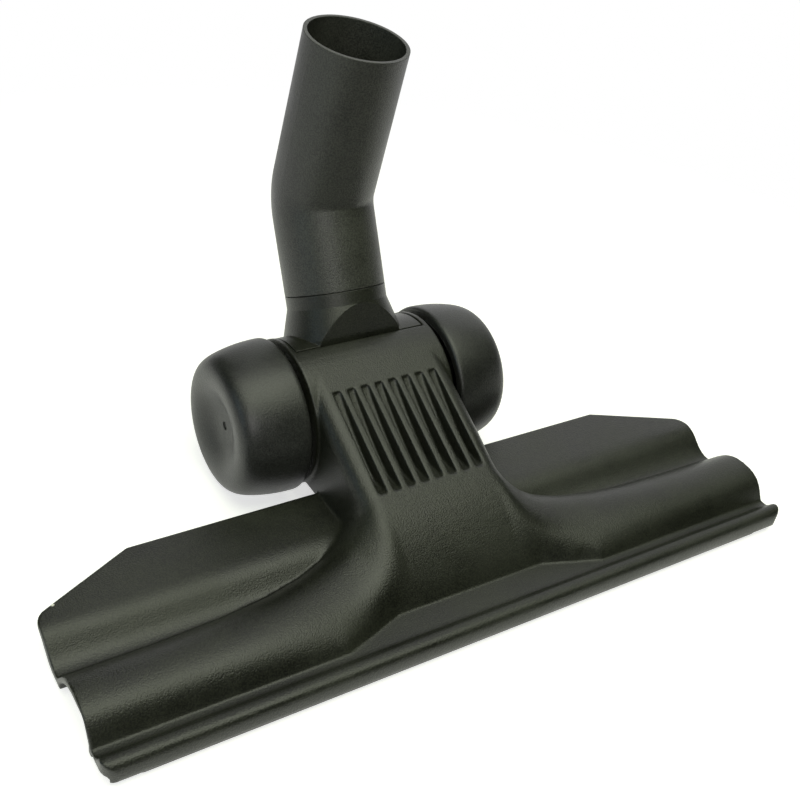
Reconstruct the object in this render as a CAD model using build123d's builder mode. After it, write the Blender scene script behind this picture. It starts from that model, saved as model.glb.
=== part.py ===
from build123d import *
from math import acos, asin, atan2, cos, degrees, exp, hypot, radians, sin, sqrt, tan
import os

# Vacuum floor brush head: a long low suction head with a rear wing, a flared
# throat rising to a barrel joint between two wheels, and a swivelling elbow tube.
# Millimetres. +Z up, floor at z = 0, front of the head towards -Y, origin under
# the middle of the overall box.

os.makedirs("parts", exist_ok=True)

# Head plan
head_half = 141.0
front_y = -83.55
bead_depth = 9.3
bead_top_z = 10.3
bead_crown = 3.7
bead_front_z = 5.0
bead_skirt_z = 2.7
bead_skirt = 1.5
ledge_z = 6.8
ledge_thickness = 1.8
wall = 2.5
wing_rear_y = -3.85
wing_corner_run = 37.0
wing_corner_y = -21.85
wing_corner_radius = 6.5
wing_z = 13.0
valley_z = 5.8
valley_y = -42.15
wing_rise = 17.0
base_z = 3.1

# Hump along the head and the flare that lifts it into the throat
hump_front_y = -72.45
hump_crest_y = -58.65
hump_crest_z = 16.3
hump_rear_y = -42.65
hump_foot_z = 6.0
recess_half = 31.5
recess_outer_half = 53.5
recess_front_y = -64.55
hump_side_y = -67.95
hump_side_z = 13.4
hump_front_run = (0.5, 0.85)
hump_rear_run = (0.65, -0.75)
flare_reach = 23.0
flare_lift_reach = 6.5
flare_lift_ease = 6.0
flare_rear_shift = 31.0
flare_sections = 9
flare_spacing = 1.33
corner_radius = 5.0

# Throat and its grooved face
throat_inset = 0.8
shoulder_radius = 6.0
block_overlap = 3.0
face_foot_z = 7.6
face_mid_y = -55.15
face_mid_z = 18.0
face_tip_y = -32.75
face_tip_z = 32.0
face_tip_slope = 0.36
throat_floor_z = 10.5
throat_wall = 3.0
duct_ceiling = 7.6
groove_count = 8
groove_pitch = 5.94
groove_width = 3.3
groove_length = 42.4
groove_deepest = 10.0
groove_depth = 5.2
groove_step = 1.0
groove_dive = 1.0
groove_climb = 0.26

# Barrel joint
axle_y = 26.35
axle_z = 29.3
barrel_radius = 28.0
barrel_wall = 2.3
barrel_half = 30.3
barrel_end_wall = 2.35
slot_front_angle = -4.0
slot_rear_angle = 153.0
cover_tab_length = 14.0
cover_tab_gap = 1.5
cover_tab_thickness = 2.0
cover_end_gap = 0.3
cover_gap_angle = 0.6
cover_screw_x = 18.0
cover_boss_radius = 3.4
cover_boss_top_z = 19.0

# Tilting drum and neck
drum_clearance = 0.25
drum_end_gap = 1.5
drum_wall = 2.2
window_top_angle = -80.0
window_bottom_angle = -172.0
window_end = 5.45
neck_lean = 29.58
neck_radius = 19.4
neck_root_radius = 22.7
neck_root_top = 36.8
neck_seam = 41.8
neck_bore_radius = 12.6
spigot_bore_radius = 14.2
flat_lean = 10.0
flat_clearance = 0.3
land_gap = 0.4
land_drop = 0.3
land_rear_angle = 78.0
spigot_radius = 17.3
spigot_length = 14.0
spigot_clearance = 0.1
seam_gap = 0.3

# Lock ring
ring_offset = 5.3
ring_thickness = 1.4
ring_inner_radius = 16.6
ring_outer_radius = 18.1
ring_clearance = 0.1
ring_split = 3.0

# Elbow
bend_distance = 77.7
bend_angle = 35.5
bend_radius = 20.5
bend_swivel = 6.1
upper_length = 62.2
elbow_bore_radius = 15.5
mouth_radius = 19.05
socket_radius = 17.6
socket_depth = 50.0

# Wheels and axles
wheel_inner_x = 33.0
wheel_edge_radius = 28.3
wheel_edge_run = (0.5, 1)
wheel_bulge_x = 35.0
wheel_taper_x = 50.0
wheel_taper_radius = 27.5
wheel_taper_run = (1, -0.25)
wheel_face_x = 58.2
wheel_crest_radius = 19.7
dish_depth = 4.2
dish_flat_radius = 4.0
dimple_radius = 1.6
dimple_depth = 0.5
wheel_wall = 2.6
wheel_rim_wall = 4.2
hub_radius = 6.5
axle_radius = 3.0
axle_tip_x = 51.0
axle_clearance = 0.06
axle_root = 2.0
axle_boss_radius = 7.0
axle_boss_length = 6.0
hub_gap = 0.3
snap_x = 48.0
snap_width = 1.6
snap_depth = 0.45
snap_clearance = 0.15

# Sole plate and brushes
sole_end_gap = 9.0
sole_front_y = -81.75
sole_rear_y = -43.2
sole_z = 1.0
sole_thickness = 2.0
sole_lip_z = 0.8
sole_lip_top_z = 4.2
sole_lip_width = 1.8
sole_corner = 4.0
mouth_front_y = -63.5
mouth_rear_y = -50.5
mouth_end_gap = 20.0
bridge_x = 62.0
bridge_width = 10.0
strip_end_gap = 10.0
strip_width = 3.0
strip_height = 1.8
front_strip_y = -74.25
rear_strip_y = -47.6
bristle_width = 1.6
bristle_margin = 2.0
bristle_clearance = 0.2
sole_screw_y = -60.0
sole_screw_end_gap = 10.0
sole_boss_radius = 3.2
screw_radius = 1.5
screw_head_radius = 2.7
screw_head_height = 1.2
screw_recess = 1.3
screw_length = 8.0
screw_clearance = 0.05
seat_gap = 0.1

axle_point = (axle_y, axle_z)
wing_corner_x = head_half - wing_corner_run
throat_half = barrel_half - throat_inset
shoulder_start = throat_half - shoulder_radius
duct_half = throat_half - throat_wall
slot_half = barrel_half - barrel_end_wall
cover_tab_half = duct_half - cover_tab_gap
bore_radius = barrel_radius - barrel_wall
drum_radius = bore_radius - drum_clearance
drum_half = slot_half - drum_end_gap
window_half = drum_half - window_end
axle_root_x = barrel_half - axle_root
sole_top_z = sole_z + sole_thickness
sole_half = head_half - sole_end_gap
mouth_half = sole_half - mouth_end_gap
strip_half = sole_half - strip_end_gap
sole_screw_outer_x = sole_half - sole_screw_end_gap
sole_screw_places = (-sole_screw_outer_x, -bridge_x, bridge_x, sole_screw_outer_x)
sole_screw_spots = [(x, sole_screw_y) for x in sole_screw_places]
barrel_foot_y = axle_y - sqrt(barrel_radius**2 - (axle_z - throat_floor_z) ** 2)
cover_front_angle = 180 + degrees(acos((axle_z - throat_floor_z) / barrel_radius))
cover_screw_y = barrel_foot_y - cover_tab_length / 2
cover_screw_spots = [(-cover_screw_x, cover_screw_y), (cover_screw_x, cover_screw_y)]

# Reach of the cuts that pass right through, and how a wedge and a match are taken
cut_reach = bend_distance + neck_radius
wedge_steps = 5
match_tolerance = 0.01

# The throat's flat face is tangent to the barrel
reach_y = axle_y - face_tip_y
reach_z = axle_z - face_tip_z
face_angle = degrees(atan2(reach_z, reach_y) + asin(barrel_radius / hypot(reach_y, reach_z)))
face_length = sqrt(reach_y**2 + reach_z**2 - barrel_radius**2)
face_run = Vector(cos(radians(face_angle)), sin(radians(face_angle)))
face_inward = Vector(sin(radians(face_angle)), -cos(radians(face_angle)))
face_tip = Vector(face_tip_y, face_tip_z)
face_top = face_tip + face_run * face_length

# Directions of the neck and of the elbow's upper leg
neck_dir = Vector(0, sin(radians(neck_lean)), cos(radians(neck_lean)))
neck_front = Vector(0, -cos(radians(neck_lean)), sin(radians(neck_lean)))
bend_side = neck_front * cos(radians(bend_swivel)) + Vector(1, 0, 0) * sin(radians(bend_swivel))
upper_dir = neck_dir * cos(radians(bend_angle)) + bend_side * sin(radians(bend_angle))
axle_center = Vector(0, axle_y, axle_z)
bend_point = axle_center + neck_dir * bend_distance
mouth_point = bend_point + upper_dir * upper_length
bend_setback = bend_radius * tan(radians(bend_angle / 2))
neck_plane = Plane(origin=axle_center, x_dir=(1, 0, 0), z_dir=neck_dir)


def cross_plane(x):
    """Plane across the head at x, with its own x along +Y and its own y along +Z."""
    return Plane(origin=(x, 0, 0), x_dir=(0, 1, 0), z_dir=(1, 0, 0))


def around_axle(angle, radius):
    """Point in a cross plane at an angle from straight up towards the rear."""
    return (axle_y + radius * sin(radians(angle)), axle_z + radius * cos(radians(angle)))


def hump_front(x):
    """Foot of the hump's front wall, set back behind the middle ledge."""
    if x <= recess_half:
        return recess_front_y
    share = min((x - recess_half) / (recess_outer_half - recess_half), 1.0)
    return recess_front_y + (hump_front_y - recess_front_y) * share


def fade(x, reach, ease):
    """Share of the throat's form that is left in the hump at distance x from the middle."""
    return exp((ease - hypot(max(x - shoulder_start, 0), ease)) / reach)


def hump_height(x):
    """Height of the hump's crest, lifted towards the throat."""
    lift = fade(x, flare_lift_reach, flare_lift_ease)
    return hump_crest_z + (face_tip_z - hump_crest_z) * lift


def hump_profile(x, inset, bottom):
    """Closed outline of the hump at distance x from the middle, thinned by inset."""
    spread = fade(x, flare_reach, 0)
    lift = fade(x, flare_lift_reach, flare_lift_ease)
    front = (hump_front(x) + inset, ledge_z)
    side = (
        hump_side_y + (face_mid_y - hump_side_y) * spread + inset,
        hump_side_z + (face_mid_z - hump_side_z) * lift,
    )
    crest = (hump_crest_y + (face_tip_y - hump_crest_y) * spread, hump_height(x) - inset)
    rear = (hump_rear_y + flare_rear_shift * spread - inset, hump_foot_z)
    crest_run = (1, face_tip_slope * spread)
    Spline(front, side, crest, tangents=(hump_front_run, crest_run))
    Spline(crest, rear, tangents=(crest_run, hump_rear_run))
    Polyline(rear, (rear[0], bottom), (front[0], bottom), front)


def wedge(first, last):
    """Closed wedge about the axle between two angles, reaching past every part near it."""
    turn = (last - first) / wedge_steps
    rim = [around_axle(first + turn * step, cut_reach) for step in range(wedge_steps + 1)]
    Polyline(axle_point, *rim, close=True)


def stations(first, last):
    """Section places from the throat out to the head's end, closest where the flare is steep."""
    gaps = [flare_spacing**step for step in range(flare_sections)]
    scale = (last - first) / sum(gaps)
    return [first + scale * sum(gaps[:count]) for count in range(flare_sections + 1)]


side_stations = stations(shoulder_start, head_half)
hump_stations = [-x for x in reversed(side_stations)] + side_stations
channel_stations = stations(shoulder_start - wall, head_half + wall)

# Bosses for the sole screws, trimmed to end inside the hump's wall
with BuildPart() as sole_bosses:
    with BuildSketch(Plane.XY.offset(base_z)):
        with Locations(*sole_screw_spots):
            Circle(sole_boss_radius)
    extrude(amount=face_tip_z - base_z)
    for x in hump_stations:
        with BuildSketch(cross_plane(x)):
            with BuildLine():
                hump_profile(abs(x), wall / 2, base_z)
            make_face()
    loft(ruled=True, mode=Mode.INTERSECT)

# Head housing: the one-piece upper moulding
with BuildPart() as head_housing:
    # Throat block from the foot of the grooves back to the barrel
    with BuildSketch(cross_plane(-throat_half)):
        with BuildLine():
            face_start = face_tip - face_run * block_overlap
            Polyline(
                face_start,
                face_top,
                axle_point,
                (axle_y, throat_floor_z),
                (face_start.X, throat_floor_z),
                close=True,
            )
        make_face()
    extrude(amount=2 * throat_half)
    flank_edges = edges().filter_by(
        lambda edge: abs(abs(edge.center().X) - throat_half) < match_tolerance
    )
    shoulder_edges = flank_edges.filter_by(
        lambda edge: abs(edge.length - face_length - block_overlap) < match_tolerance
    )
    fillet(shoulder_edges, shoulder_radius)

    # Hump along the whole head, lifted and widened into the throat
    for x in hump_stations:
        with BuildSketch(cross_plane(x)):
            with BuildLine():
                hump_profile(abs(x), 0, base_z)
            make_face()
    loft(ruled=True)

    # Front ledge and the half-round bead along the front edge
    with BuildSketch(cross_plane(-head_half)):
        with BuildLine():
            skirt_back = front_y + bead_skirt
            ledge_under = ledge_z - ledge_thickness
            skirt = (front_y + bead_skirt / 2, bead_skirt_z)
            nose = (front_y, bead_front_z)
            crown = (front_y + bead_crown, bead_top_z)
            gutter = (front_y + bead_depth, ledge_z)
            Line((skirt_back, bead_skirt_z), skirt)
            Spline(skirt, nose, tangents=((-1, 1), (0, 1)))
            Spline(nose, crown, tangents=((0, 1), (1, 0)))
            Spline(crown, gutter, tangents=((1, 0), (1, 0)))
            Line(gutter, (recess_front_y + wall, ledge_z))
            Line((recess_front_y + wall, ledge_z), (recess_front_y + wall, ledge_under))
            Line((recess_front_y + wall, ledge_under), (skirt_back, ledge_under))
            Line((skirt_back, ledge_under), (skirt_back, bead_skirt_z))
        make_face()
    extrude(amount=2 * head_half)

    # Barrel with its end walls and the axle bosses outside them
    with BuildSketch(cross_plane(-barrel_half)):
        with Locations(axle_point):
            Circle(barrel_radius)
    extrude(amount=2 * barrel_half)
    with BuildSketch(cross_plane(-barrel_half - axle_boss_length)):
        with Locations(axle_point):
            Circle(axle_boss_radius)
    extrude(amount=2 * (barrel_half + axle_boss_length))

    # Hump channel, open below and at both ends
    for side in (-1, 1):
        for x in channel_stations:
            with BuildSketch(cross_plane(side * x)):
                with BuildLine():
                    hump_profile(x, wall, -wall)
                make_face()
        loft(ruled=True, mode=Mode.SUBTRACT)

    # Rear wing: a sheet of constant section with chamfered rear corners
    with BuildSketch(cross_plane(-head_half)):
        with BuildLine():
            valley = (valley_y - wall, valley_z)
            rise_foot = (valley_y, valley_z)
            rise_top = (valley_y + wing_rise, wing_z)
            Line(valley, rise_foot)
            Spline(rise_foot, rise_top, tangents=((1, 0), (1, 0)))
            Line(rise_top, (wing_rear_y, wing_z))
            Line((wing_rear_y, wing_z), (wing_rear_y, wing_z - wall))
            Line((wing_rear_y, wing_z - wall), (rise_top[0] + wall, wing_z - wall))
            Spline(
                (rise_top[0] + wall, wing_z - wall),
                (valley_y + wall, base_z),
                tangents=((-1, 0), (-1, 0)),
            )
            Line((valley_y + wall, base_z), (valley[0], base_z))
            Line((valley[0], base_z), valley)
        make_face()
    extrude(amount=2 * head_half)

    # Duct through the throat
    with BuildSketch(cross_plane(-duct_half)):
        with BuildLine():
            foot = Vector(recess_front_y + wall, face_foot_z)
            mid = Vector(face_mid_y, face_mid_z) + face_inward * duct_ceiling
            tip = face_tip + face_inward * duct_ceiling
            top = face_top + face_inward * duct_ceiling
            Spline(foot, mid, tip, tangents=(hump_front_run, face_run))
            Polyline(
                tip,
                top,
                (axle_y, top.Y),
                (axle_y, wing_z),
                (valley_y + wing_rise, wing_z),
                (valley_y, valley_z),
                (valley_y, -wall),
                (foot.X, -wall),
                foot,
            )
        make_face()
    extrude(amount=2 * duct_half, mode=Mode.SUBTRACT)

    # Barrel bore, and the opening that the neck swings through
    with BuildSketch(cross_plane(-slot_half)):
        with Locations(axle_point):
            Circle(bore_radius)
    extrude(amount=2 * slot_half, mode=Mode.SUBTRACT)
    with BuildSketch(cross_plane(-slot_half)):
        with BuildLine():
            wedge(slot_front_angle, cover_front_angle)
        make_face()
    extrude(amount=2 * slot_half, mode=Mode.SUBTRACT)

    # Grooves down the throat face, stepped at the top and deepest above the tip
    for index in range(groove_count):
        groove_x = (index - (groove_count - 1) / 2) * groove_pitch
        with BuildSketch(cross_plane(groove_x - groove_width / 2)):
            with BuildLine():
                step = face_tip + face_run * groove_length + face_inward * groove_step
                deepest = face_tip + face_run * groove_deepest + face_inward * groove_depth
                lift = face_inward * -wall
                dive = face_run + face_inward * groove_dive
                climb = face_run - face_inward * groove_climb
                Spline(face_tip, deepest, tangents=(dive, face_run))
                Spline(deepest, step, tangents=(face_run, climb))
                Polyline(step, step + lift * 2, face_tip + lift, face_tip)
            make_face()
        extrude(amount=groove_width, mode=Mode.SUBTRACT)

    # Plan outline: rounded front corners, chamfered wing corners and the joint behind
    with BuildSketch(Plane.XY):
        joint_half = barrel_half + axle_boss_length
        with BuildLine():
            Polyline(
                (0, front_y),
                (head_half, front_y),
                (head_half, wing_corner_y),
                (wing_corner_x, wing_rear_y),
                (joint_half, wing_rear_y),
                (joint_half, axle_y + barrel_radius),
                (0, axle_y + barrel_radius),
                close=True,
            )
        make_face()
        mirror(about=Plane.YZ)
        end_corners = vertices().filter_by(lambda corner: abs(corner.X) > wing_corner_x)
        fillet(end_corners.filter_by(lambda corner: corner.Y < valley_y), corner_radius)
        end_corners = vertices().filter_by(lambda corner: abs(corner.X) > head_half - match_tolerance)
        fillet(end_corners.filter_by(lambda corner: corner.Y > valley_y), wing_corner_radius)
    extrude(amount=cut_reach, mode=Mode.INTERSECT)

    # Bosses for the sole screws and the cover screws
    add(sole_bosses.part)
    with BuildSketch(Plane.XY.offset(throat_floor_z)):
        with Locations(*cover_screw_spots):
            Circle(cover_boss_radius)
    extrude(amount=cover_boss_top_z - throat_floor_z)

    # Screw holes and axle bores
    with BuildSketch(Plane.XY.offset(base_z)):
        with Locations(*sole_screw_spots):
            Circle(screw_radius + screw_clearance)
    extrude(amount=screw_length, mode=Mode.SUBTRACT)
    with BuildSketch(Plane.XY.offset(throat_floor_z)):
        with Locations(*cover_screw_spots):
            Circle(screw_radius + screw_clearance)
    extrude(amount=screw_length, mode=Mode.SUBTRACT)
    for side in (-1, 1):
        with BuildSketch(cross_plane(side * axle_root_x)):
            with Locations(axle_point):
                Circle(axle_radius)
        extrude(amount=side * cut_reach, mode=Mode.SUBTRACT)

head_housing.part.label = "head_housing"
export_step(head_housing.part, "parts/head_housing.step")

# Joint cover: the lower rear shell of the barrel, with a screwed tab under the throat
with BuildPart() as joint_cover:
    cover_half = slot_half - cover_end_gap
    with BuildSketch(cross_plane(-cover_half)):
        with Locations(axle_point):
            Circle(barrel_radius)
            Circle(bore_radius, mode=Mode.SUBTRACT)
        with BuildLine():
            wedge(slot_rear_angle + cover_gap_angle, cover_front_angle - cover_gap_angle)
        make_face(mode=Mode.INTERSECT)
    extrude(amount=2 * cover_half)
    tab_top_z = throat_floor_z - seat_gap
    with BuildSketch(Plane.XY.offset(tab_top_z - cover_tab_thickness)):
        with Locations((0, barrel_foot_y)):
            Rectangle(2 * cover_tab_half, 2 * cover_tab_length)
    extrude(amount=cover_tab_thickness)
    with BuildSketch(cross_plane(-cover_half)):
        with Locations(axle_point):
            Circle(bore_radius)
    extrude(amount=2 * cover_half, mode=Mode.SUBTRACT)
    with BuildSketch(Plane.XY.offset(tab_top_z)):
        with Locations(*cover_screw_spots):
            Circle(screw_radius + screw_clearance)
    extrude(amount=-cover_tab_thickness, mode=Mode.SUBTRACT)

joint_cover.part.label = "joint_cover"
export_step(joint_cover.part, "parts/joint_cover.step")


def screw_outline(top_z):
    """Half outline of a pan-head screw pointing up, its head's bearing face at top_z."""
    Polyline(
        (0, top_z - screw_head_height),
        (screw_head_radius, top_z - screw_head_height),
        (screw_head_radius, top_z),
        (screw_radius, top_z),
        (screw_radius, top_z + screw_length - screw_head_radius),
        (0, top_z + screw_length - screw_radius),
        close=True,
    )


# Cover screws
with BuildPart() as cover_screw:
    with BuildSketch(Plane.XZ):
        with BuildLine():
            screw_outline(throat_floor_z - seat_gap - cover_tab_thickness)
        make_face()
    revolve(axis=Axis.Z)
with BuildPart() as cover_screws:
    with Locations(*cover_screw_spots):
        add(cover_screw.part)
cover_screws.part.label = "cover_screws"
export_step(cover_screws.part, "parts/cover_screws.step")

# Sole plate with its front lip, suction mouths and brush slots
with BuildPart() as sole_plate:
    sole_middle_y = (sole_front_y + sole_rear_y) / 2
    sole_depth = sole_rear_y - sole_front_y
    with BuildSketch(Plane.XY.offset(sole_z)):
        with Locations((0, sole_middle_y)):
            RectangleRounded(2 * sole_half, sole_depth, sole_corner)
    extrude(amount=sole_thickness)
    with BuildSketch(Plane.XY.offset(sole_lip_z)):
        with Locations((0, sole_middle_y)):
            RectangleRounded(2 * sole_half, sole_depth, sole_corner)
        with Locations((0, sole_middle_y + sole_lip_width)):
            Rectangle(2 * head_half, sole_depth, mode=Mode.SUBTRACT)
    extrude(amount=sole_lip_top_z - sole_lip_z)
    with BuildSketch(Plane.XY.offset(sole_z)):
        mouth_depth = mouth_rear_y - mouth_front_y
        side_length = mouth_half - bridge_x - bridge_width / 2
        side_middle = (mouth_half + bridge_x + bridge_width / 2) / 2
        with Locations((0, (mouth_front_y + mouth_rear_y) / 2)):
            RectangleRounded(2 * bridge_x - bridge_width, mouth_depth, sole_corner)
        with Locations(
            (-side_middle, (mouth_front_y + mouth_rear_y) / 2),
            (side_middle, (mouth_front_y + mouth_rear_y) / 2),
        ):
            RectangleRounded(side_length, mouth_depth, sole_corner)
        with Locations((0, front_strip_y), (0, rear_strip_y)):
            Rectangle(
                2 * (strip_half - bristle_margin + bristle_clearance),
                bristle_width + 2 * bristle_clearance,
            )
    extrude(amount=sole_thickness, mode=Mode.SUBTRACT)
    with BuildSketch(Plane.XY.offset(sole_z)):
        with Locations(*sole_screw_spots):
            Circle(screw_radius + screw_clearance)
    extrude(amount=sole_thickness, mode=Mode.SUBTRACT)
    with BuildSketch(Plane.XY.offset(sole_z)):
        with Locations(*sole_screw_spots):
            Circle(screw_head_radius + bristle_clearance)
    extrude(amount=screw_recess, mode=Mode.SUBTRACT)

sole_plate.part.label = "sole_plate"
export_step(sole_plate.part, "parts/sole_plate.step")

# Sole screws, heads let into the plate
with BuildPart() as sole_screw:
    with BuildSketch(Plane.XZ):
        with BuildLine():
            screw_outline(sole_z + screw_recess)
        make_face()
    revolve(axis=Axis.Z)
with BuildPart() as sole_screws:
    with Locations(*sole_screw_spots):
        add(sole_screw.part)
sole_screws.part.label = "sole_screws"
export_step(sole_screws.part, "parts/sole_screws.step")


# Brush strips: a backing bar on the sole plate and bristles through it to the floor
for name, strip_y in (("front", front_strip_y), ("rear", rear_strip_y)):
    with BuildPart() as brush_strip:
        with BuildSketch(Plane.XY.offset(sole_top_z)):
            with Locations((0, strip_y)):
                Rectangle(2 * strip_half, strip_width)
        extrude(amount=strip_height)
    brush_strip.part.label = f"{name}_brush_strip"
    export_step(brush_strip.part, f"parts/{name}_brush_strip.step")

    with BuildPart() as bristles:
        with BuildSketch(Plane.XY):
            with Locations((0, strip_y)):
                Rectangle(2 * (strip_half - bristle_margin), bristle_width)
        extrude(amount=sole_top_z)
    bristles.part.label = f"{name}_bristles"
    export_step(bristles.part, f"parts/{name}_bristles.step")

# Tilt joint: the drum in the barrel and the neck that leaves it
with BuildPart() as tilt_joint:
    with BuildSketch(cross_plane(-drum_half)):
        with Locations(axle_point):
            Circle(drum_radius)
    extrude(amount=2 * drum_half)
    neck_side = Vector(1, 0, 0).cross(neck_dir)
    with BuildSketch(Plane(origin=axle_center, x_dir=(1, 0, 0), z_dir=neck_side)):
        with BuildLine():
            Polyline(
                (0, 0),
                (neck_root_radius, 0),
                (neck_root_radius, drum_radius),
                (neck_radius, neck_root_top),
                (neck_radius, neck_seam),
                (spigot_radius, neck_seam),
                (spigot_radius, neck_seam + spigot_length),
                (0, neck_seam + spigot_length),
                close=True,
            )
        make_face()
    revolve(axis=Axis(axle_center, neck_dir))
    # Land beside the neck that fills the barrel's opening flush
    with BuildSketch(cross_plane(-slot_half + land_gap)):
        with BuildLine():
            wedge(slot_front_angle, land_rear_angle)
        make_face()
        with Locations(axle_point):
            Circle(barrel_radius - land_drop, mode=Mode.INTERSECT)
            Circle(drum_radius - drum_wall, mode=Mode.SUBTRACT)
    extrude(amount=2 * (slot_half - land_gap))
    # Flat on the neck's front that rests on the edge of the barrel's opening
    stop_foot = Vector(*around_axle(slot_front_angle, bore_radius)) + Vector(flat_clearance, 0)
    stop_rise = Vector(sin(radians(flat_lean)), cos(radians(flat_lean)))
    with BuildSketch(cross_plane(-slot_half)):
        with BuildLine():
            reach_back = Vector(cut_reach, 0)
            foot_end = stop_foot - stop_rise * cut_reach
            head_end = stop_foot + stop_rise * cut_reach
            Polyline(foot_end, head_end, head_end - reach_back, foot_end - reach_back, close=True)
        make_face()
        with Locations(axle_point):
            Circle(drum_radius, mode=Mode.SUBTRACT)
    extrude(amount=2 * slot_half, mode=Mode.SUBTRACT)
    # Hollow drum, its window to the throat and the bore up the neck
    with BuildSketch(cross_plane(-drum_half + drum_wall)):
        with Locations(axle_point):
            Circle(drum_radius - drum_wall)
    extrude(amount=2 * (drum_half - drum_wall), mode=Mode.SUBTRACT)
    with BuildSketch(cross_plane(-window_half)):
        with BuildLine():
            wedge(window_bottom_angle, window_top_angle)
        make_face()
    extrude(amount=2 * window_half, mode=Mode.SUBTRACT)
    with BuildSketch(neck_plane):
        Circle(neck_bore_radius)
    extrude(amount=cut_reach, mode=Mode.SUBTRACT)
    with BuildSketch(neck_plane.offset(neck_root_top)):
        Circle(spigot_bore_radius)
    extrude(amount=cut_reach, mode=Mode.SUBTRACT)
    # Groove for the lock ring
    with BuildSketch(neck_plane.offset(neck_seam + ring_offset - ring_clearance)):
        Circle(spigot_radius + wall)
        Circle(ring_inner_radius - ring_clearance, mode=Mode.SUBTRACT)
    extrude(amount=ring_thickness + 2 * ring_clearance, mode=Mode.SUBTRACT)

tilt_joint.part.label = "tilt_joint"
export_step(tilt_joint.part, "parts/tilt_joint.step")

# Lock ring: a split ring that keeps the elbow on the neck
with BuildPart() as lock_ring:
    with BuildSketch(neck_plane.offset(neck_seam + ring_offset)):
        Circle(ring_outer_radius)
        Circle(ring_inner_radius, mode=Mode.SUBTRACT)
        with Locations((0, ring_outer_radius)):
            Rectangle(ring_split, ring_outer_radius, mode=Mode.SUBTRACT)
    extrude(amount=ring_thickness)
lock_ring.part.label = "lock_ring"
export_step(lock_ring.part, "parts/lock_ring.step")

# Elbow tube: a straight collar on the neck, a tight bend and the wand socket
with BuildPart() as elbow_tube:
    bend_start = bend_point - neck_dir * bend_setback
    bend_end = bend_point + upper_dir * bend_setback
    collar_plane = neck_plane.offset(neck_seam + seam_gap)
    upper_side = upper_dir.cross(neck_dir).normalized()
    upper_plane = Plane(origin=bend_end, x_dir=upper_side, z_dir=upper_dir)
    mouth_plane = Plane(origin=mouth_point, x_dir=upper_side, z_dir=upper_dir)
    with BuildSketch(collar_plane):
        Circle(neck_radius)
    extrude(amount=bend_distance - bend_setback - neck_seam - seam_gap)
    with BuildLine() as bend_path:
        TangentArc(bend_start, bend_end, tangent=neck_dir)
    with BuildSketch(neck_plane.offset(bend_distance - bend_setback)):
        Circle(neck_radius)
    sweep(path=bend_path.wire())
    with BuildSketch(upper_plane):
        Circle(neck_radius)
    with BuildSketch(mouth_plane):
        Circle(mouth_radius)
    loft()
    # Collar bore, bend bore and wand socket
    with BuildSketch(collar_plane):
        Circle(spigot_radius + spigot_clearance)
    extrude(amount=spigot_length, mode=Mode.SUBTRACT)
    with BuildSketch(collar_plane):
        Circle(elbow_bore_radius)
    extrude(amount=bend_distance - bend_setback - neck_seam - seam_gap, mode=Mode.SUBTRACT)
    with BuildSketch(neck_plane.offset(bend_distance - bend_setback)):
        Circle(elbow_bore_radius)
    sweep(path=bend_path.wire(), mode=Mode.SUBTRACT)
    with BuildSketch(upper_plane):
        Circle(elbow_bore_radius)
    extrude(amount=upper_length - bend_setback, mode=Mode.SUBTRACT)
    with BuildSketch(mouth_plane):
        Circle(socket_radius)
    extrude(amount=-socket_depth, mode=Mode.SUBTRACT)
    # Groove for the lock ring
    with BuildSketch(neck_plane.offset(neck_seam + ring_offset - ring_clearance)):
        Circle(ring_outer_radius + ring_clearance)
    extrude(amount=ring_thickness + 2 * ring_clearance, mode=Mode.SUBTRACT)

elbow_tube.part.label = "elbow_tube"
export_step(elbow_tube.part, "parts/elbow_tube.step")


def axle_profile():
    """Half outline of an axle pin along +X, with its snap groove."""
    Polyline(
        (axle_root_x, 0),
        (axle_root_x, axle_radius),
        (snap_x, axle_radius),
        (snap_x, axle_radius - snap_depth),
        (snap_x + snap_width, axle_radius - snap_depth),
        (snap_x + snap_width, axle_radius),
        (axle_tip_x, axle_radius),
        (axle_tip_x, 0),
        close=True,
    )


def wheel_profile():
    """Half outline of a wheel along +X: tapered tread, dished face, hub and snap ridge."""
    bore = axle_radius + axle_clearance
    hub_x = barrel_half + axle_boss_length + hub_gap
    dish_x = wheel_face_x - dish_depth
    ridge_radius = axle_radius - snap_depth + snap_clearance
    ridge_start = snap_x + snap_clearance
    ridge_end = snap_x + snap_width - snap_clearance
    edge = (wheel_inner_x, wheel_edge_radius)
    bulge = (wheel_bulge_x, axle_z)
    taper = (wheel_taper_x, wheel_taper_radius)
    crest = (wheel_face_x, wheel_crest_radius)
    Spline(edge, bulge, tangents=(wheel_edge_run, (1, 0)))
    Spline(bulge, taper, tangents=((1, 0), wheel_taper_run))
    Spline(taper, crest, tangents=(wheel_taper_run, (0, -1)))
    Spline(crest, (dish_x, dish_flat_radius), tangents=((0, -1), (0, -1)))
    Polyline(
        (dish_x, dish_flat_radius),
        (dish_x, dimple_radius),
        (dish_x - dimple_depth, dimple_radius),
        (dish_x - dimple_depth, 0),
        (axle_tip_x + hub_gap, 0),
        (axle_tip_x + hub_gap, bore),
        (ridge_end, bore),
        (ridge_end, ridge_radius),
        (ridge_start, ridge_radius),
        (ridge_start, bore),
        (hub_x, bore),
        (hub_x, hub_radius),
        (dish_x - wheel_wall, hub_radius),
        (wheel_face_x - wheel_rim_wall, wheel_crest_radius - wheel_wall / 2),
        (wheel_taper_x - wheel_wall / 2, wheel_taper_radius - wheel_wall),
        (wheel_inner_x, wheel_edge_radius - wheel_wall),
        (wheel_inner_x, wheel_edge_radius),
    )


axle_axis_plane = Plane(origin=axle_center, x_dir=(1, 0, 0), z_dir=(0, -1, 0))
axle_axis = Axis(axle_center, (1, 0, 0))

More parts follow.
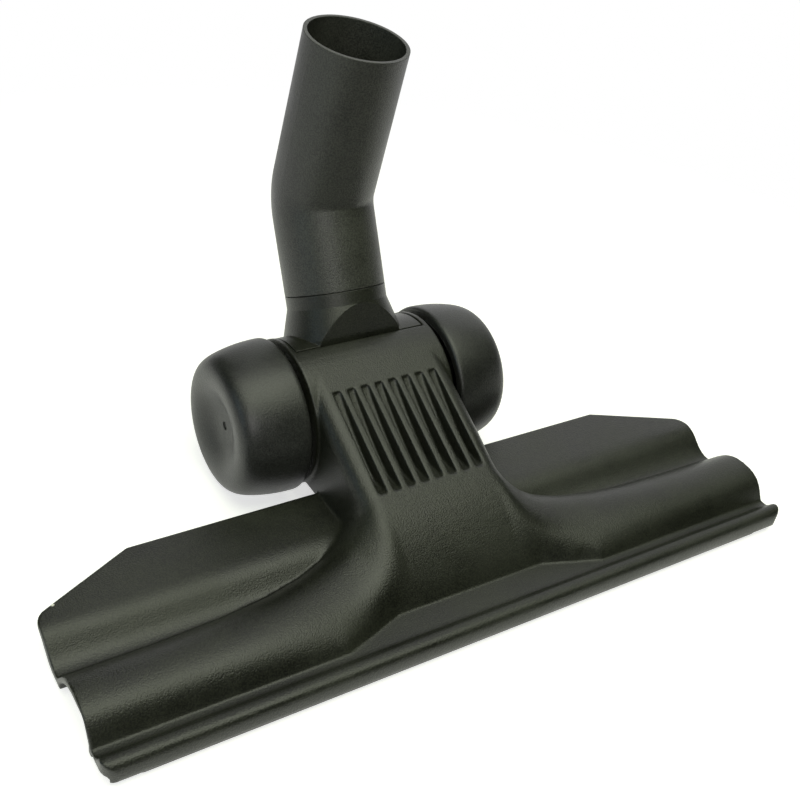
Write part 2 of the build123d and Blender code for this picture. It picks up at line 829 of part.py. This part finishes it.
with BuildPart() as right_axle:
    with BuildSketch(axle_axis_plane):
        with BuildLine():
            axle_profile()
        make_face()
    revolve(axis=axle_axis)
right_axle.part.label = "right_axle"
export_step(right_axle.part, "parts/right_axle.step")

with BuildPart() as left_axle:
    mirror(right_axle.part, about=Plane.YZ)
left_axle.part.label = "left_axle"
export_step(left_axle.part, "parts/left_axle.step")

with BuildPart() as right_wheel:
    with BuildSketch(axle_axis_plane):
        with BuildLine():
            wheel_profile()
        make_face()
    revolve(axis=axle_axis)
right_wheel.part.label = "right_wheel"
export_step(right_wheel.part, "parts/right_wheel.step")

with BuildPart() as left_wheel:
    mirror(right_wheel.part, about=Plane.YZ)
left_wheel.part.label = "left_wheel"
export_step(left_wheel.part, "parts/left_wheel.step")
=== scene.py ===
import random
from math import cos, pi, radians, sin

import bmesh
import bpy
import numpy as np
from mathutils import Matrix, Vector


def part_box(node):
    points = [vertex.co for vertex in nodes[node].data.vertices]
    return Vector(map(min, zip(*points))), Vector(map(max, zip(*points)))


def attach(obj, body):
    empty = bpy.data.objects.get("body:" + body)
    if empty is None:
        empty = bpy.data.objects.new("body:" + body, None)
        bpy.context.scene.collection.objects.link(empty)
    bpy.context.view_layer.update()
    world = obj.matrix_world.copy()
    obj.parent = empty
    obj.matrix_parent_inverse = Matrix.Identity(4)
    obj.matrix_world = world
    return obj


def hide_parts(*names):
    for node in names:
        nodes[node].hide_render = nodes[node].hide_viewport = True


# Vacuum floor brush head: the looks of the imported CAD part, in metres.
# The housing gets rounded edges, the brush strips get their filaments,
# and every node gets a procedural material.

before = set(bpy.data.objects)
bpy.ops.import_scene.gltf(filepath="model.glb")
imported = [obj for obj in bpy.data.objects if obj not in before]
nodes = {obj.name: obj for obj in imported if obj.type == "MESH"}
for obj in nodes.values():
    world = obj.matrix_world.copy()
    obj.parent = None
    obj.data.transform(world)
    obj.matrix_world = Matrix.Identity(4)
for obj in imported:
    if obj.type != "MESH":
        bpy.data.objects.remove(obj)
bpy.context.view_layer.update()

MM = 0.001

# Camera, solved from the photograph
camera_place = (-0.20627, -0.27008, 0.28471)
camera_turn = (53.433, -7.582, -31.392)
camera_lens = 50.67
camera_shift = (0.0228, 0.0229)
camera_near = 0.01

# World and floor: white where they are seen, dimmer where they light the part
background = (1.0, 1.0, 1.0, 1)
sky_light = 0.04
sky_shown = 1.0
floor_reach = 3.0
floor_colour = (0.86, 0.86, 0.85, 1)
floor_bounce = (0.22, 0.22, 0.21, 1)
floor_lift = 0.6
floor_fade = (0.16, 0.42)

# Lamps: a large softbox overhead, a fill beside the camera and a weak blue window
lamps = {
    "top_softbox": dict(
        place=(0.0, -0.40, 1.35),
        aim=(0.0, -0.40, 0.0),
        size=(1.8, 1.2),
        power=20.0,
        colour=(0.94, 1.0, 0.77),
    ),
    "front_fill": dict(
        place=(-0.73, -1.08, 0.78),
        aim=(0.0, 0.04, 0.10),
        size=(0.6, 0.6),
        power=6.0,
        colour=(1.0, 0.99, 0.97),
    ),
    "side_window": dict(
        place=(-1.10, -0.05, 0.42),
        aim=(0.0, 0.0, 0.04),
        size=(0.5, 0.5),
        power=1.4,
        colour=(0.66, 0.84, 1.0),
    ),
}

# Dark cards that keep white out of the part's sheen: tall ones round the back, the left,
# the front and the right, with a gap at the back right, and a low one before the part
card_reach = 1.7
card_height = 3.2
card_back_end = 0.2
card_right_end = 0.5
low_card = dict(first=(-0.35, -0.18), last=(0.55, -0.18), height=0.12)
card_colour = (0.015, 0.015, 0.016, 1)
card_roughness = 0.95

# Colours of the pieces
charcoal = (0.0118, 0.0130, 0.0090, 1)
charcoal_worn = (0.045, 0.046, 0.039, 1)
tube_grey = (0.026, 0.0275, 0.0225, 1)
wheel_grey = (0.0145, 0.0155, 0.014, 1)
steel_grey = (0.52, 0.52, 0.50, 1)
bristle_black = (0.018, 0.018, 0.019, 1)
nick_colour = (0.75, 0.74, 0.70, 1)

# Plastics: colour, roughness, grains per metre, grain height, wear of edges, specular level
plastics = {
    "housing_plastic": (charcoal, 0.38, 1900, 0.165 * MM, 0.5, 0.43),
    "sole_plastic": (charcoal, 0.40, 1900, 0.145 * MM, 0.8, 0.43),
    "joint_plastic": (charcoal, 0.38, 1900, 0.13 * MM, 0.4, 0.43),
    "tube_plastic": (tube_grey, 0.42, 1900, 0.155 * MM, 0.5, 0.50),
    "ring_plastic": (charcoal, 0.40, 2000, 0.03 * MM, 0.3, 0.36),
    "wheel_plastic": (wheel_grey, 0.41, 1900, 0.12 * MM, 0.5, 0.48),
    "backing_plastic": (charcoal, 0.55, 1900, 0.06 * MM, 0.3, 0.36),
}

# What all plastics share: noise scales and details, and the ranges that the noise is spread over
cloud_scale, cloud_detail = 45, 3
cloud_range = (0.35, 0.65)
cloud_share = 0.35
gloss_range = (0.3, 0.7)
gloss_change = (-0.05, 0.06)
grain_detail = 2
grain_range = (0.38, 0.62)
grain_share = 0.65
grain_light, grain_dark = 1.85, 0.3
grain_strength = 0.9
wear_scale, wear_detail = 130, 4
wear_range = (0.40, 0.62)
edge_radius = 0.5 * MM
edge_samples = 4
edge_bend = (0.995, 0.90)

# Small chip at the left rear corner of the wing
nick_place = (-0.1343, -0.0193, 0.0130)
nick_radius = 0.8 * MM
nick_core = 0.5

# Turned steel
steel_cloud_scale, steel_cloud_detail = 220, 3
steel_cloud_range = (0.35, 0.65)
steel_dull = 0.75
steel_gloss_range = (0.3, 0.7)
steel_roughness = (0.28, 0.44)
steel_mark_scale, steel_mark_detail = 3000, 2
steel_mark_strength = 0.3
steel_mark_height = 0.02 * MM

# Rounded moulding skin: weld distance, voxel, smoothing passes and share of faces kept
weld_distance = 0.001 * MM
housing_voxel = 0.44 * MM
housing_rounds = 3
housing_kept = 0.16
relax_step = 0.5

# Where the flare of the hump is evened, and where the throat's grooves stay crisp
flare_rounds = 110
flare_x = (21.0 * MM, 28.0 * MM, 112.0 * MM, 134.0 * MM)
flare_y = (-30.0 * MM, -18.0 * MM)
flare_z = (9.5 * MM, 13.0 * MM)
groove_x = (24.5 * MM, 26.5 * MM)
groove_y = (-37.0 * MM, -34.0 * MM)
groove_share = 0.35

# Brush filaments
tuft_pitch = 2.4 * MM
tuft_strands = 13
tuft_spread = (0.95 * MM, 0.50 * MM)
tuft_splay = 0.25 * MM
tuft_root = 3.15 * MM
splay_range = (0.4, 1)
strand_sides = 5
strand_radius = 0.11 * MM
strand_tip = 0.6
foot_range_mm = (0.02, 0.25)
tip_paler = 2.2
nylon_scale, nylon_detail = 900, 2
nylon_range = (0.3, 0.7)
nylon_roughness = (0.32, 0.5)


def scaled(colour, factor):
    """Colour made lighter or darker."""
    return tuple(part * factor for part in colour[:3]) + (1,)


def link(tree, source, target):
    """Joins two sockets of a node tree."""
    tree.links.new(source, target)


def new_material(name):
    """Material with its node tree, its shader and the object's own coordinates."""
    material = bpy.data.materials.new(name)
    material.use_nodes = True
    tree = material.node_tree
    place = tree.nodes.new("ShaderNodeTexCoord").outputs["Object"]
    return material, tree, tree.nodes["Principled BSDF"], place


def noise(tree, place, scale, detail):
    """Noise texture over a place."""
    node = tree.nodes.new("ShaderNodeTexNoise")
    node.inputs["Scale"].default_value = scale
    node.inputs["Detail"].default_value = detail
    link(tree, place, node.inputs["Vector"])
    return node.outputs["Fac"]


def spread(tree, value, source, target):
    """Value in the source range, turned into the target range."""
    node = tree.nodes.new("ShaderNodeMapRange")
    for socket, number in zip(("From Min", "From Max", "To Min", "To Max"), (*source, *target)):
        node.inputs[socket].default_value = number
    link(tree, value, node.inputs["Value"])
    return node.outputs["Result"]


def mixed(tree, factor, first, last):
    """Colour between two colours or sockets."""
    node = tree.nodes.new("ShaderNodeMix")
    node.data_type = "RGBA"
    link(tree, factor, node.inputs["Factor"])
    for socket, colour in ((node.inputs[6], first), (node.inputs[7], last)):
        if isinstance(colour, tuple):
            socket.default_value = colour
        else:
            link(tree, colour, socket)
    return node.outputs[2]


def combined(tree, operation, first, last):
    """Two values joined by a sum, a product or the like."""
    node = tree.nodes.new("ShaderNodeMath")
    node.operation = operation
    link(tree, first, node.inputs[0])
    link(tree, last, node.inputs[1])
    return node.outputs[0]


def add_bump(tree, shader, height, strength, distance, normal=None):
    """Fine relief on a shader."""
    bump = tree.nodes.new("ShaderNodeBump")
    bump.inputs["Strength"].default_value = strength
    bump.inputs["Distance"].default_value = distance
    link(tree, height, bump.inputs["Height"])
    if normal is not None:
        link(tree, normal, bump.inputs["Normal"])
    link(tree, bump.outputs["Normal"], shader.inputs["Normal"])


def soft_edges(tree):
    """Mask that is one along edges and zero on open faces, and the softened normal."""
    bevel = tree.nodes.new("ShaderNodeBevel")
    bevel.samples = edge_samples
    bevel.inputs["Radius"].default_value = edge_radius
    geometry = tree.nodes.new("ShaderNodeNewGeometry")
    dot = tree.nodes.new("ShaderNodeVectorMath")
    dot.operation = "DOT_PRODUCT"
    link(tree, bevel.outputs["Normal"], dot.inputs[0])
    link(tree, geometry.outputs["Normal"], dot.inputs[1])
    return spread(tree, dot.outputs["Value"], edge_bend, (0.0, 1.0)), bevel.outputs["Normal"]


def moulded_plastic(name, colour, roughness, grain, grain_height, wear, specular):
    """Moulded plastic with a spark-eroded grain, cloudy gloss and rubbed edges."""
    material, tree, shader, place = new_material(name)
    shader.inputs["Specular IOR Level"].default_value = specular
    cloud = noise(tree, place, cloud_scale, cloud_detail)
    speck = noise(tree, place, grain, grain_detail)
    edges, soft_normal = soft_edges(tree)

    mottle = combined(
        tree,
        "ADD",
        spread(tree, cloud, cloud_range, (0.0, cloud_share)),
        spread(tree, speck, grain_range, (0.0, grain_share)),
    )
    body = mixed(tree, mottle, scaled(colour, grain_dark), scaled(colour, grain_light))
    patches = spread(tree, noise(tree, place, wear_scale, wear_detail), wear_range, (0.0, wear))
    rubbed = combined(tree, "MULTIPLY", edges, patches)
    link(tree, mixed(tree, rubbed, body, charcoal_worn), shader.inputs["Base Color"])

    gloss = spread(tree, cloud, gloss_range, [roughness + change for change in gloss_change])
    link(tree, gloss, shader.inputs["Roughness"])
    add_bump(tree, shader, speck, grain_strength, grain_height, soft_normal)
    return material


def add_nick(material):
    """Small pale chip in the moulding at one place."""
    tree = material.node_tree
    base = tree.nodes["Principled BSDF"].inputs["Base Color"]
    body = base.links[0].from_socket
    gap = tree.nodes.new("ShaderNodeVectorMath")
    gap.operation = "DISTANCE"
    gap.inputs[1].default_value = nick_place
    link(tree, tree.nodes.new("ShaderNodeTexCoord").outputs["Object"], gap.inputs[0])
    chip = spread(tree, gap.outputs["Value"], (nick_radius, nick_core * nick_radius), (0.0, 1.0))
    link(tree, mixed(tree, chip, body, nick_colour), base)


def turned_steel(name):
    """Bright steel with fine turning marks and duller patches."""
    material, tree, shader, place = new_material(name)
    shader.inputs["Metallic"].default_value = 1.0
    cloud = noise(tree, place, steel_cloud_scale, steel_cloud_detail)
    patches = spread(tree, cloud, steel_cloud_range, (0.0, 1.0))
    body = mixed(tree, patches, scaled(steel_grey, steel_dull), steel_grey)
    link(tree, body, shader.inputs["Base Color"])
    gloss = spread(tree, cloud, steel_gloss_range, steel_roughness)
    link(tree, gloss, shader.inputs["Roughness"])
    marks = noise(tree, place, steel_mark_scale, steel_mark_detail)
    add_bump(tree, shader, marks, steel_mark_strength, steel_mark_height)
    return material


def filament(name):
    """Nylon filament, a little paler towards the floor."""
    material, tree, shader, place = new_material(name)
    height = tree.nodes.new("ShaderNodeSeparateXYZ")
    link(tree, place, height.inputs[0])
    near_floor = spread(tree, height.outputs["Z"], (0, tuft_root), (1.0, 0.0))
    body = mixed(tree, near_floor, bristle_black, scaled(bristle_black, tip_paler))
    link(tree, body, shader.inputs["Base Color"])
    gloss = spread(tree, noise(tree, place, nylon_scale, nylon_detail), nylon_range, nylon_roughness)
    link(tree, gloss, shader.inputs["Roughness"])
    return material


def add_piece(name, mesh, material):
    """New object for a mesh, linked and painted."""
    piece = bpy.data.objects.new(name, mesh)
    bpy.context.scene.collection.objects.link(piece)
    paint(mesh, material)
    return piece


def paint(mesh, material):
    """Gives a mesh one material."""
    mesh.materials.clear()
    mesh.materials.append(material)


def evaluated_mesh(piece):
    """Mesh of a piece with its modifiers applied."""
    graph = bpy.context.evaluated_depsgraph_get()
    return bpy.data.meshes.new_from_object(piece.evaluated_get(graph))


def ramp(values, start, end):
    """Smooth step from zero at start to one at end."""
    share = np.clip((values - start) / (end - start), 0, 1)
    return share * share * (3 - 2 * share)


def edge_weights(points):
    """Full on most of the housing and low on the crisp grooves of the throat."""
    beside = ramp(np.abs(points[:, 0]), *groove_x)
    before = 1 - ramp(points[:, 1], *groove_y)
    return groove_share + (1 - groove_share) * np.maximum(beside, before)


def flare_weights(points):
    """High on the flares of the hump, zero on the throat, the ledge and the ends."""
    across = np.abs(points[:, 0])
    inside = ramp(across, flare_x[0], flare_x[1]) * (1 - ramp(across, flare_x[2], flare_x[3]))
    return inside * (1 - ramp(points[:, 1], *flare_y)) * ramp(points[:, 2], *flare_z)


def relax(mesh, weights, rounds):
    """Evens out a mesh where the weights are high."""
    count = len(mesh.vertices)
    points = np.empty(count * 3)
    mesh.vertices.foreach_get("co", points)
    points = points.reshape(-1, 3)
    edges = np.empty(len(mesh.edges) * 2, int)
    mesh.edges.foreach_get("vertices", edges)
    first, last = edges.reshape(-1, 2).T
    links = np.bincount(first, minlength=count) + np.bincount(last, minlength=count)
    share = (relax_step * weights(points) / np.maximum(links, 1))[:, None]
    for _ in range(rounds):
        sums = [
            np.bincount(first, points[last, axis], count) + np.bincount(last, points[first, axis], count)
            for axis in range(3)
        ]
        points = points + share * (np.stack(sums, axis=1) - links[:, None] * points)
    mesh.vertices.foreach_set("co", points.ravel())
    mesh.update()


def moulded_skin(node, voxel, rounds, kept, material):
    """Copy of a CAD node with its edges rounded as a moulding's are."""
    form = nodes[node].data.copy()
    work = bmesh.new()
    work.from_mesh(form)
    bmesh.ops.remove_doubles(work, verts=work.verts, dist=weld_distance)
    work.to_mesh(form)
    work.free()
    piece = add_piece(node + "_skin", form, material)
    remesh = piece.modifiers.new("voxels", "REMESH")
    remesh.mode = "VOXEL"
    remesh.voxel_size = voxel
    even = evaluated_mesh(piece)
    piece.modifiers.clear()
    relax(even, edge_weights, rounds)
    relax(even, flare_weights, flare_rounds)
    piece.data = even
    thin = piece.modifiers.new("fewer", "DECIMATE")
    thin.ratio = kept
    piece.data = evaluated_mesh(piece)
    piece.modifiers.clear()
    paint(piece.data, material)
    piece.data.shade_smooth()
    return piece


def bristle_row(name, node, seed):
    """Tufts of tapered filaments along a brush strip."""
    chance = random.Random(seed)
    low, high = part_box(node)
    middle_y = (low.y + high.y) / 2
    tufts = int((high.x - low.x) / tuft_pitch)
    first_x = (low.x + high.x - (tufts - 1) * tuft_pitch) / 2
    work = bmesh.new()
    for tuft in range(tufts):
        for _ in range(tuft_strands):
            turn = chance.uniform(0, 2 * pi)
            reach = chance.uniform(0, 1) ** 0.5
            root_x = first_x + tuft * tuft_pitch + tuft_spread[0] * reach * cos(turn)
            root_y = middle_y + tuft_spread[1] * reach * sin(turn)
            foot_x = root_x + tuft_splay * reach * cos(turn) * chance.uniform(*splay_range)
            foot_y = root_y + tuft_splay * reach * sin(turn) * chance.uniform(*splay_range)
            foot_z = low.z + chance.uniform(*foot_range_mm) * MM
            root_ring = []
            foot_ring = []
            for side in range(strand_sides):
                angle = 2 * pi * side / strand_sides
                step_x = strand_radius * cos(angle)
                step_y = strand_radius * sin(angle)
                root = (root_x + step_x, root_y + step_y, tuft_root)
                foot = (foot_x + strand_tip * step_x, foot_y + strand_tip * step_y, foot_z)
                root_ring.append(work.verts.new(root))
                foot_ring.append(work.verts.new(foot))
            for side in range(strand_sides):
                after = (side + 1) % strand_sides
                work.faces.new((root_ring[side], foot_ring[side], foot_ring[after], root_ring[after]))
            work.faces.new(root_ring)
            work.faces.new(foot_ring[::-1])
    mesh = bpy.data.meshes.new(name)
    bmesh.ops.recalc_face_normals(work, faces=work.faces)
    work.to_mesh(mesh)
    work.free()
    return mesh


def mixed_shaders(tree, factor, first, last):
    """Shader between two shaders."""
    mix = tree.nodes.new("ShaderNodeMixShader")
    for socket, source in zip(mix.inputs, (factor, first, last)):
        link(tree, source, socket)
    return mix.outputs[0]


def light_path_mix(tree, lit, shown):
    """Shader that the camera and mirrors see as shown, and that lights as lit."""
    path = tree.nodes.new("ShaderNodeLightPath")
    seen = path.outputs["Is Camera Ray"]
    for other in ("Is Glossy Ray", "Is Transmission Ray"):
        seen = combined(tree, "MAXIMUM", seen, path.outputs[other])
    return mixed_shaders(tree, seen, lit, shown)


def plain_shader(tree, kind, socket, value):
    """Shader node with one input set."""
    node = tree.nodes.new(kind)
    node.inputs[socket].default_value = value
    return node.outputs[0]


def floor_look():
    """Pale floor that keeps the shadow near the part and fades to white away from it."""
    material, tree, shader, place = new_material("pale_floor")
    tree.nodes.remove(shader)
    dim = plain_shader(tree, "ShaderNodeBsdfDiffuse", "Color", floor_bounce)
    near = tree.nodes.new("ShaderNodeAddShader")
    pale = plain_shader(tree, "ShaderNodeBsdfDiffuse", "Color", floor_colour)
    link(tree, pale, near.inputs[0])
    link(tree, plain_shader(tree, "ShaderNodeEmission", "Strength", floor_lift), near.inputs[1])
    far = plain_shader(tree, "ShaderNodeEmission", "Color", background)
    away = tree.nodes.new("ShaderNodeVectorMath")
    away.operation = "LENGTH"
    link(tree, place, away.inputs[0])
    fade = spread(tree, away.outputs["Value"], floor_fade, (0.0, 1.0))
    shown = mixed_shaders(tree, fade, near.outputs[0], far)
    surface = light_path_mix(tree, dim, shown)
    link(tree, surface, tree.nodes["Material Output"].inputs["Surface"])
    return material


def add_lamp(name, place, aim, size, power, colour):
    """Soft rectangular lamp aimed at a point."""
    lamp = bpy.data.lights.new(name, "AREA")
    lamp.shape = "RECTANGLE"
    lamp.size, lamp.size_y = size
    lamp.energy = power
    lamp.color = colour
    holder = bpy.data.objects.new(name, lamp)
    bpy.context.scene.collection.objects.link(holder)
    holder.location = place
    holder.rotation_euler = (Vector(aim) - Vector(place)).to_track_quat("-Z", "Y").to_euler()


def faces_mesh(name, quads):
    """Mesh of separate four-cornered faces."""
    mesh = bpy.data.meshes.new(name)
    corners = [corner for quad in quads for corner in quad]
    mesh.from_pydata(corners, [], [tuple(range(4 * quad, 4 * quad + 4)) for quad in range(len(quads))])
    return mesh


# Materials
looks = {name: moulded_plastic(name, *finish) for name, finish in plastics.items()}
add_nick(looks["housing_plastic"])
looks["steel"] = turned_steel("steel")
looks["nylon"] = filament("nylon")

node_looks = {
    "head_housing": "housing_plastic",
    "joint_cover": "joint_plastic",
    "sole_plate": "sole_plastic",
    "tilt_joint": "joint_plastic",
    "elbow_tube": "tube_plastic",
    "lock_ring": "ring_plastic",
    "left_wheel": "wheel_plastic",
    "right_wheel": "wheel_plastic",
    "front_brush_strip": "backing_plastic",
    "rear_brush_strip": "backing_plastic",
    "front_bristles": "nylon",
    "rear_bristles": "nylon",
    "sole_screws": "steel",
    "cover_screws": "steel",
    "left_axle": "steel",
    "right_axle": "steel",
}
for node, look in node_looks.items():
    paint(nodes[node].data, looks[look])

# Housing with rounded moulded edges and an even flare
housing = moulded_skin(
    "head_housing", housing_voxel, housing_rounds, housing_kept, looks["housing_plastic"]
)
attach(housing, "head")
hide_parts("head_housing")

# Brush filaments
for seed, node in enumerate(("front_bristles", "rear_bristles")):
    row = add_piece(node + "_strands", bristle_row(node + "_strands", node, seed), looks["nylon"])
    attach(row, "head")
    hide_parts(node)

# World
world = bpy.data.worlds.new("studio")
bpy.context.scene.world = world
world.use_nodes = True
sky_tree = world.node_tree
soft_sky = sky_tree.nodes["Background"]
seen_sky = sky_tree.nodes.new("ShaderNodeBackground")
for sky_node, strength in ((soft_sky, sky_light), (seen_sky, sky_shown)):
    sky_node.inputs["Color"].default_value = background
    sky_node.inputs["Strength"].default_value = strength
sky = light_path_mix(sky_tree, soft_sky.outputs[0], seen_sky.outputs[0])
link(sky_tree, sky, sky_tree.nodes["World Output"].inputs["Surface"])

# Floor
floor_corners = [
    (x * floor_reach, y * floor_reach, 0) for x, y in ((-1, -1), (1, -1), (1, 1), (-1, 1))
]
floor = add_piece("floor", faces_mesh("floor", [floor_corners]), floor_look())

# Lamps
for name, lamp in lamps.items():
    add_lamp(name, **lamp)

# Dark cards, seen only in the part's sheen
card_look, _, card_shader, _ = new_material("dark_card")
card_shader.inputs["Base Color"].default_value = card_colour
card_shader.inputs["Roughness"].default_value = card_roughness
card_shader.inputs["Specular IOR Level"].default_value = 0.0
card_points = [
    (card_back_end, card_reach),
    (-card_reach, card_reach),
    (-card_reach, -card_reach),
    (card_reach, -card_reach),
    (card_reach, card_right_end),
]
card_strips = [(first, last, card_height) for first, last in zip(card_points, card_points[1:])]
card_strips.append((low_card["first"], low_card["last"], low_card["height"]))
card_quads = [
    ((*first, 0.0), (*last, 0.0), (*last, height), (*first, height))
    for first, last, height in card_strips
]
cards = add_piece("dark_cards", faces_mesh("dark_cards", card_quads), card_look)
cards.visible_camera = False
cards.visible_diffuse = False
cards.visible_transmission = False
cards.visible_shadow = False

# Camera
camera_data = bpy.data.cameras.new("camera")
camera_data.lens = camera_lens
camera_data.shift_x, camera_data.shift_y = camera_shift
camera_data.clip_start = camera_near
camera = bpy.data.objects.new("camera", camera_data)
bpy.context.scene.collection.objects.link(camera)
camera.location = camera_place
camera.rotation_euler = tuple(radians(angle) for angle in camera_turn)
bpy.context.scene.camera = camera
bpy.context.scene.view_settings.view_transform = "Standard"
